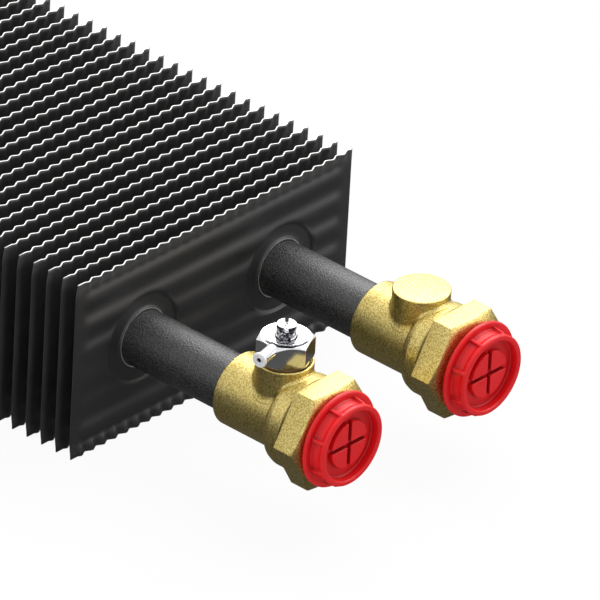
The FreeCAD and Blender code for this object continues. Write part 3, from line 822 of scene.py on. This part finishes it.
def hexagon_rows(angles):
    """Rows of the hexagon: along, and its radius at each angle.

    The front is a cone whose radius falls to FACE_RADIUS at the end, so it meets a flat of radius r at
    end - (r - FACE_RADIUS) x slope. A quarter arc rounds the rear edge, and a parabola the front one:
    (1 - s) squared x start + 2 s (1 - s) x edge + s squared x finish.
    """
    flats = hexagon_radius(angles, FLAT_RADIUS, pi / 2, 150)[None]
    edge = FITTING_LENGTH - (flats - FACE_RADIUS) * FACE_SLOPE
    rear, front = 0.25, 0.45
    share = np.linspace(0, 1, 5)[:, None]
    rear_along = HEXAGON_START + rear * (1 - np.cos(share * pi / 2)) + 0 * flats
    rear_out = flats - rear * (1 - np.sin(share * pi / 2))
    dip = front / hypot(1, FACE_SLOPE)
    front_along = edge - front * (1 - share) ** 2 + dip * FACE_SLOPE * share ** 2
    front_out = flats - dip * share ** 2
    middle = rear_along[-1:] + (front_along[:1] - rear_along[-1:]) * np.array([[0.33], [0.67]])
    cone = np.array([[0.5], [1.0]])
    cone_out = front_out[-1:] + (FACE_RADIUS - front_out[-1:]) * cone
    cone_along = front_along[-1:] + (FITTING_LENGTH - front_along[-1:]) * cone
    along = np.vstack([rear_along, middle, front_along, cone_along])
    return along, np.vstack([rear_out, flats + 0 * middle, front_out, cone_out])


def port_rows(angles):
    """Rows of the port from its mouth inwards: a cone at the mouth, then the thread."""
    along = np.arange(FITTING_LENGTH, PORT_START + 0.1, -0.15)[:, None]
    fade = smoothstep((along - PORT_START - 0.6) / 2.0)
    phase = 2 * pi * along / THREAD_PITCH - angles[None]
    thread = PORT_RADIUS + THREAD_DEPTH * fade * np.clip(0.5 + 0.85 * np.cos(phase), 0, 1)
    mouth = PORT_MOUTH - (FITTING_LENGTH - along)
    return along, np.maximum(thread, mouth)


def fitting_grid(place):
    """Closed grid of the fitting without its boss."""
    angles = corner_packed_angles(384, pi / 2)
    inside = outline([(PORT_START, PORT_RADIUS - 0.1, 0), (PORT_START, WATERWAY_RADIUS, 0),
                      (SOCKET_DEPTH, WATERWAY_RADIUS, 0.3), (SOCKET_DEPTH, SOCKET_RADIUS, 0),
                      (0.3, SOCKET_RADIUS, 0)])
    along, out = stacked([outside_rows(), hexagon_rows(angles), port_rows(angles), inside], angles)
    return grid(turned(along, out, angles[None], place), closed_rows=True)


# %% [markdown]
# The boss stands on the round barrel and runs into the shoulder, so its foot follows their height. Rings
# about its own axis leave the barrel on a small fillet, climb the wall, round the rim and close over the
# top. On the vented side the top has a recess for the gasket.

# %% Brass fitting: boss
BOSS_RADIUS = 7.35
BOSS_TOP = 14.55
BOSS_FILLET = 0.9
RECESS_RADIUS, RECESS_DEPTH = 6.75, 0.4
VENT_BORE, VENT_BORE_END = 4.95, 10.4


def barrel_height(x, y):
    """Height of barrel or shoulder over the tube axis: root of radius squared less y squared."""
    line = outside_rows()[1:]
    radius = np.interp(x, line[:, 0], line[:, 1])
    return np.sqrt(np.maximum(radius ** 2 - y ** 2, 1))


def boss_grid(place, vented):
    angles = ring_angles(160)[None]
    share = np.linspace(0, 1, 8)[:, None] * pi / 2
    foot_out = BOSS_RADIUS + BOSS_FILLET * (1 - np.sin(share)) + 0 * angles
    foot_height = barrel_height(BOSS_OFFSET + foot_out * np.cos(angles), foot_out * np.sin(angles))
    foot_height = foot_height + BOSS_FILLET * (1 - np.cos(share))
    sunk = np.array([0.0, 3.0, 6.0, BOSS_RADIUS + BOSS_FILLET])[:, None] + 0 * angles
    sunk_height = barrel_height(BOSS_OFFSET + sunk * np.cos(angles), sunk * np.sin(angles)) - 0.35
    rim = [(BOSS_TOP - 0.35, BOSS_RADIUS, 0), (BOSS_TOP, BOSS_RADIUS, 0.32)]
    if vented:
        recess = BOSS_TOP - RECESS_DEPTH
        rim += [(BOSS_TOP, RECESS_RADIUS, 0.1), (recess, RECESS_RADIUS, 0.05), (recess, VENT_BORE, 0),
                (VENT_BORE_END, VENT_BORE, 0), (VENT_BORE_END, 0, 0)]
    else:
        rim += [(BOSS_TOP, 0, 0)]
    top = outline(rim)
    wall = np.linspace(0, 1, 4)[1:-1, None]
    wall_height = foot_height[-1:] + (top[0, 0] - foot_height[-1:]) * wall
    wall_out = BOSS_RADIUS + 0 * wall_height
    blocks = [(sunk_height, sunk), (foot_height, foot_out), (wall_height, wall_out), top]
    heights, outs = stacked(blocks, angles)
    return grid(turned(heights, outs, angles, place, UPRIGHT))


for side, y in SIDES:
    node = side + "_fitting"
    forging = fitting_grid(np.array([FITTING_X, y, TUBE_Z]))
    boss = boss_grid(np.array([BOSS_X, y, TUBE_Z]), vented=side == "supply")
    make_piece(node + "_forging", [forging, boss], node, BRASS, sharp_angle=42)

# %% [markdown]
# The vent screws into the boss of the supply fitting. Its hexagon uses the same radius formula about an
# upright axis, with a cone on top and a fine ring turned into the top face.

# %% Chromed vent
VENT_PLACE = np.array([BOSS_X, SUPPLY_Y, TUBE_Z])
VENT_FLAT_TURN = radians(-36.9)
VENT_BOTTOM, VENT_TOP = 15.3, 21.2
VENT_FLAT_RADIUS, VENT_TOP_RADIUS, VENT_FOOT_RADIUS = 6.5, 6.32, 7.1
WELL_FLOOR, WELL_RADIUS = 18.3, 2.62
VENT_SHANK_RADIUS, VENT_SHANK_END = 4.86, 10.6


def vent_grid():
    angles = corner_packed_angles(264, VENT_FLAT_TURN)
    flats = hexagon_radius(angles, VENT_FLAT_RADIUS, VENT_FLAT_TURN, 130)[None]
    side = np.linspace(1.5, VENT_TOP - VENT_BOTTOM - 0.5, 4)
    from_top = np.concatenate([np.arange(0, 1.3, 0.07), side])[:, None]
    from_bottom = np.array([0.4, 0.3, 0.2, 0.1, 0.0])[:, None]
    height = np.vstack([VENT_TOP - from_top, VENT_BOTTOM + from_bottom])
    top_cone = VENT_TOP_RADIUS + (VENT_TOP - height) / tan(radians(35))
    bottom_cone = VENT_FOOT_RADIUS + (height - VENT_BOTTOM)
    sides = softer_least(softer_least(flats, top_cone, 0.05), bottom_cone, 0.05)
    low = VENT_TOP - 0.3
    top = outline([(WELL_FLOOR, 0, 0), (WELL_FLOOR, WELL_RADIUS, 0), (low, WELL_RADIUS, 0.1),
                   (VENT_TOP, 3.0, 0.1), (VENT_TOP, 4.7, 0.05), (low, 4.75, 0.1), (low, 4.95, 0.1),
                   (VENT_TOP, 5.0, 0.05), (VENT_TOP, 6.1, 0)], steps=3)
    shank = outline([(VENT_BOTTOM, 6.6, 0), (VENT_BOTTOM, VENT_SHANK_RADIUS, 0),
                     (VENT_SHANK_END, VENT_SHANK_RADIUS, 0), (VENT_SHANK_END, 0, 0)])
    heights, outs = stacked([top, (height, sides), shank], angles)
    return grid(turned(heights, outs, angles[None], VENT_PLACE, UPRIGHT))


make_piece("vent_hexagon", [vent_grid()], "vent_body", CHROME, sharp_angle=32)

# %% [markdown]
# The spout is a short turned tube let into one side of the hexagon, with a bead round its mouth and one
# concentric ring in its end face.

# %% Spout, gasket and sealing ring
SPOUT_TURN = radians(-80.5)
SPOUT_HEIGHT = 19.7
SPOUT_AXES = np.array([[cos(SPOUT_TURN), sin(SPOUT_TURN), 0],
                       [-sin(SPOUT_TURN), cos(SPOUT_TURN), 0], [0, 0, 1.0]])
spout = outline([(5.2, 0, 0), (5.2, 1.9, 0), (7.6, 1.75, 0), (10.9, 1.72, 0.2), (11.3, 1.98, 0.3),
                 (12.1, 1.98, 0.35), (12.1, 1.28, 0.04), (11.85, 1.26, 0), (11.85, 1.05, 0),
                 (12.1, 1.03, 0.04), (12.1, 0.72, 0.06), (11.9, 0.62, 0.05), (8.4, 0.62, 0), (8.4, 0, 0)],
                steps=3)
spout = turned_grid(spout, 64, VENT_PLACE + [0, 0, SPOUT_HEIGHT], SPOUT_AXES)
make_piece("vent_spout", [spout], "vent_nozzle", CHROME)
GASKET_LOW, GASKET_HIGH, GASKET_BORE, GASKET_RADIUS = 14.17, 15.28, 4.96, 6.3
gasket = outline([(GASKET_LOW, GASKET_BORE, 0), (GASKET_LOW, GASKET_RADIUS, 0.1),
                  (GASKET_HIGH, GASKET_RADIUS, 0.25), (GASKET_HIGH, GASKET_BORE, 0)])
gasket = turned_grid(gasket, 96, VENT_PLACE, UPRIGHT, closed_rows=True)
make_piece("vent_gasket", [gasket], "vent_seal", GASKET)
O_RING_HEIGHT, O_RING_RADIUS, O_RING_SECTION = 20.675, 2.24, 0.31
section = ring_angles(20)
o_ring = np.stack([O_RING_HEIGHT + O_RING_SECTION * np.sin(section),
                   O_RING_RADIUS + O_RING_SECTION * np.cos(section)], axis=-1)
o_ring = turned_grid(o_ring, 64, VENT_PLACE, UPRIGHT, closed_rows=True)
make_piece("screw_o_ring", [o_ring], "bleed_screw_seal", RUBBER, "bleed_seal_body")

# %% [markdown]
# The bleed screw keeps the shape of its CAD solid, whose slot is already cut. A copy of that mesh is merged
# into one skin, and a narrow bevel breaks its edges as a lathe and a cutter leave them.

# %% Bleed screw
SCREW_BEVEL = 0.06


def screw_skin(name, node):
    """Merged copy of the screw's CAD mesh with narrow bevels on its edges."""
    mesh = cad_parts[node].data.copy()
    mesh.name = name
    copy = bmesh.new()
    copy.from_mesh(mesh)
    bmesh.ops.remove_doubles(copy, verts=copy.verts, dist=1e-6)
    bmesh.ops.dissolve_limit(copy, angle_limit=radians(1), verts=copy.verts, edges=copy.edges)
    copy.to_mesh(mesh)
    copy.free()
    piece = ready_piece(name, mesh, node, SCREW_CHROME, "bleed_screw_body", 35)
    bevel = piece.modifiers.new("broken_edges", "BEVEL")
    bevel.width = SCREW_BEVEL * MM
    bevel.segments = 2
    bevel.limit_method = "ANGLE"
    bevel.angle_limit = radians(40)


screw_skin("bleed_screw_skin", "bleed_screw")

# %% [markdown]
# Each cap is one turned moulding: a shank that plugs the port, a round flange, and a collar with a rounded
# rim. Eight ribs stand on the collar, so its radius also depends on the angle. Grid columns are packed at
# the sides of the ribs, where it changes fast.

# %% Red cap: flange, collar and ribs
CAP_HEIGHT = 5.3
FLANGE_THICKNESS, FLANGE_RADIUS = 1.15, 12.75
RIM_RADIUS = 10.8
MOUTH_RADIUS = 9.35
TROUGH = 3.0
SHANK_LENGTH, SHANK_RADIUS, SHANK_BORE, SHANK_FLOOR = 9.5, 9.1, 7.9, 1.5
RIB_COUNT = 8
RIB_TURN = radians(22.5)
RIB_HALF_ANGLE = radians(2.3)


def cap_angles():
    """Angles of the cap's columns: dense across each rib, wide between."""
    side = np.array([0, 0.45, 0.75, 0.95, 1.15, 1.4, 1.8]) * RIB_HALF_ANGLE
    between = np.linspace(side[-1], pi / RIB_COUNT, 6)[1:]
    half = np.concatenate([side, between])
    one = np.concatenate([-half[-2:0:-1], half])
    turns = RIB_TURN + ring_angles(RIB_COUNT)[:, None]
    return (turns + one[None]).ravel()


def cap_grid(place):
    shell = outline([
        (TROUGH, 0, 0), (TROUGH, MOUTH_RADIUS - 0.1, 0.4), (CAP_HEIGHT, MOUTH_RADIUS, 0.5),
        (CAP_HEIGHT, RIM_RADIUS, 0.45), (4.3, RIM_RADIUS, 0.4), (3.4, 10.45, 0.6),
        (FLANGE_THICKNESS, 10.75, 0.4), (FLANGE_THICKNESS, FLANGE_RADIUS, 0.5), (0, FLANGE_RADIUS, 0.45),
        (0, SHANK_RADIUS, 0), (-SHANK_LENGTH, SHANK_RADIUS, 0.5), (-SHANK_LENGTH, SHANK_BORE, 0.3),
        (SHANK_FLOOR, SHANK_BORE, 0.5), (SHANK_FLOOR, 0, 0),
    ], longest=1.2)
    angles = cap_angles()[None]
    along, out = shell[:, :1], shell[:, 1:]
    half_step = pi / RIB_COUNT
    from_rib = np.abs((angles - RIB_TURN + half_step) % (2 * half_step) - half_step)
    rib = smoothstep((1.3 * RIB_HALF_ANGLE - from_rib) / (0.6 * RIB_HALF_ANGLE))
    rib_radius = np.interp(along, [FLANGE_THICKNESS, 4.2, 4.6], [11.5, 11.2, 10.95])
    on_collar = (along > FLANGE_THICKNESS - 0.01) & (along < 4.7) & (out > 10.2) & (out < 11.5)
    raised = np.maximum(out, out + (rib_radius - out) * rib)
    out = np.where(on_collar, raised, out)
    return grid(turned(along, out, angles, place))


# %% [markdown]
# The floor of the cap carries four raised pads with a cross groove between them, each a quarter of a disc
# cut back by half a groove on two sides. Its outline is carried up from below the floor, leans in, rolls
# over a soft edge and closes towards the middle.

# %% Red cap: the four pads
PAD_RADIUS = 6.3
PAD_TOP = CAP_HEIGHT - 1.1
GROOVE_HALF = 0.6


def pad_outline():
    """Outline of one pad as (y, z) with its outward directions, corners rounded."""
    reach = sqrt(PAD_RADIUS ** 2 - GROOVE_HALF ** 2)
    tilt = asin(GROOVE_HALF / PAD_RADIUS)
    arc_angles = np.linspace(tilt, pi / 2 - tilt, 15)[1:-1]
    arc = [(PAD_RADIUS * cos(angle), PAD_RADIUS * sin(angle), 0) for angle in arc_angles]
    corners = [(reach / 2, GROOVE_HALF, 0), (reach, GROOVE_HALF, 0.35)] + arc
    corners += [(GROOVE_HALF, reach, 0.35), (GROOVE_HALF, GROOVE_HALF, 0.35), (reach / 2, GROOVE_HALF, 0)]
    line = finer(outline(corners, steps=4), 0.5)[:-1]
    ahead = np.roll(line, -1, axis=0) - np.roll(line, 1, axis=0)
    ahead /= np.linalg.norm(ahead, axis=1)[:, None]
    return line, np.stack([ahead[:, 1], -ahead[:, 0]], axis=-1)


def pad_grids(place):
    line, outwards = pad_outline()
    section = outline([(TROUGH - 0.3, 0.08, 0), (PAD_TOP, 0, 0.16), (PAD_TOP, -0.25, 0)])
    middle = line.mean(axis=0)
    rings = line[None] + outwards[None] * section[:, 1][:, None, None]
    inner = middle + (rings[-1] - middle) * np.array([0.6, 0.25, 0.0])[:, None, None]
    floor = middle + (rings[0] - middle) * np.array([0.0, 0.5])[:, None, None]
    rings = np.concatenate([floor, rings, inner])
    heights = np.concatenate([np.full(2, section[0, 0]), section[:, 0], np.full(3, PAD_TOP)])
    heights = np.broadcast_to(heights[:, None], rings.shape[:2])
    grids = []
    for side_y, side_z in ((1, 1), (-1, 1), (-1, -1), (1, -1)):
        points = np.stack([heights, rings[..., 0] * side_y, rings[..., 1] * side_z], axis=-1) + place
        grids.append(grid(points))
    return grids


for side, y in SIDES:
    node = side + "_cap"
    place = np.array([ends_x(node)[1] - CAP_HEIGHT, y, TUBE_Z])
    grids = [cap_grid(place)] + pad_grids(place)
    make_piece(node + "_moulding", grids, node, RED_PLASTIC, node + "_body")

# %% [markdown]
# The two solder rings lie hidden in their grooves. They only need their finish.

# %% Carried-over solids
for name in ("supply_solder_ring", "return_solder_ring"):
    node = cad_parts[name]
    node.data.materials.clear()
    node.data.materials.append(SOLDER)
    print(name, "keeps its solid")

# %% [markdown]
# The coil stands on a plain pale floor in soft studio light. The floor looks nearly white to the camera and
# in reflections, and lights the object less than that, so that its own colours stay as written.

# %% Floor, world and lamps
FLOOR_WHITE = 0.94
FLOOR_REACH = 3000


def pale_floor():
    """White for rays of the camera, of reflections and of clear materials, and grey for the light."""
    finish = Finish("pale_floor")
    camera_ray, glossy_ray, clear_ray = (finish.node("LightPath", output="Is " + kind + " Ray")
                                         for kind in ("Camera", "Glossy", "Transmission"))
    shown = camera_ray.most(glossy_ray).most(clear_ray) * FLOOR_WHITE
    white = finish.node("Emission", {}, {"Color": (1, 1, 1, 1)})
    plain = finish.node("BsdfDiffuse", {}, {"Color": (0.7, 0.7, 0.7, 1)})
    return finish.closed(finish.node("MixShader", {}, {0: shown, 1: plain, 2: white}))


def studio_world():
    world = bpy.data.worlds.new("studio")
    finish = Finish("studio", world)
    sky = finish.node("Background", {}, {"Color": (1, 1, 1, 1), "Strength": 1.0})
    return finish.closed(sky, "OutputWorld")


def sheet_object(name, corners, material):
    """Flat four-cornered stage piece, corners in millimetres."""
    mesh = bpy.data.meshes.new(name)
    mesh.from_pydata((np.array(corners, float) * MM).tolist(), [], [(0, 1, 2, 3)])
    mesh.materials.append(material)
    made = added(name, mesh)
    return made


def lamp(name, place, aim, size, power):
    """Soft rectangular lamp at a place, aimed at a point, in millimetres and watts."""
    light = bpy.data.lights.new(name, "AREA")
    light.shape = "RECTANGLE"
    light.size, light.size_y = (side * MM for side in size)
    light.energy = power
    made = added(name, light)
    made.location = Vector(place) * MM
    made.rotation_mode = "QUATERNION"
    made.rotation_quaternion = (Vector(aim) - Vector(place)).to_track_quat("-Z", "Y")


floor_corners = [(x * FLOOR_REACH, y * FLOOR_REACH, 0) for x, y in ((-1, -1), (1, -1), (1, 1), (-1, 1))]
sheet_object("floor", floor_corners, pale_floor())
scene.world = studio_world()
KEY_X = FRONT_FIN_X - 450
lamp("key", (KEY_X, 850, 1180), (KEY_X, 0, TUBE_Z), (2000, 1150), 27)
lamp("front", (FRONT_FIN_X + 1100, 950, 330), (FRONT_FIN_X, 0, TUBE_Z), (500, 500), 3.4)
scene.view_settings.view_transform = "Standard"
print("studio ready")

# %% [markdown]
# Metal looks like metal only where it reflects something dark. One black card lies on the floor and two low
# ones stand along its far sides, and only reflections meet them. A tall flag before the ports only keeps
# some of the room's light off them.

# %% Black cards
def black_card():
    finish = Finish("black_card")
    return finish.closed(finish.node("Emission", {}, {"Color": (0.1, 0.1, 0.1, 1)}))


def upright(first, second, height):
    """Corners of an upright sheet between two places on the floor."""
    return [(*first, 0), (*second, 0), (*second, height), (*first, height)]


CARD = black_card()
CARD_REACH, CARD_NEAR, CARD_HEIGHT = 1400, 420, 260
corners = np.array([(CARD_NEAR, CARD_NEAR), (-CARD_REACH, CARD_NEAR), (-CARD_REACH, -CARD_REACH),
                    (CARD_NEAR, -CARD_REACH)], float)
cards = [sheet_object("card_floor", [(x, y, 0.2) for x, y in corners], CARD)]
for number in (1, 2):
    standing = upright(corners[number], corners[number + 1], CARD_HEIGHT)
    cards.append(sheet_object(f"card_{number}", standing, CARD))
for card in cards:
    card.visible_camera = card.visible_diffuse = card.visible_shadow = card.visible_transmission = False
FLAG_X = FRONT_FIN_X + 1500
flag = sheet_object("flag", upright((FLAG_X, -2000), (FLAG_X, 2500), 1500), CARD)
flag.visible_camera = flag.visible_glossy = flag.visible_transmission = False
print(len(cards), "cards and one flag")
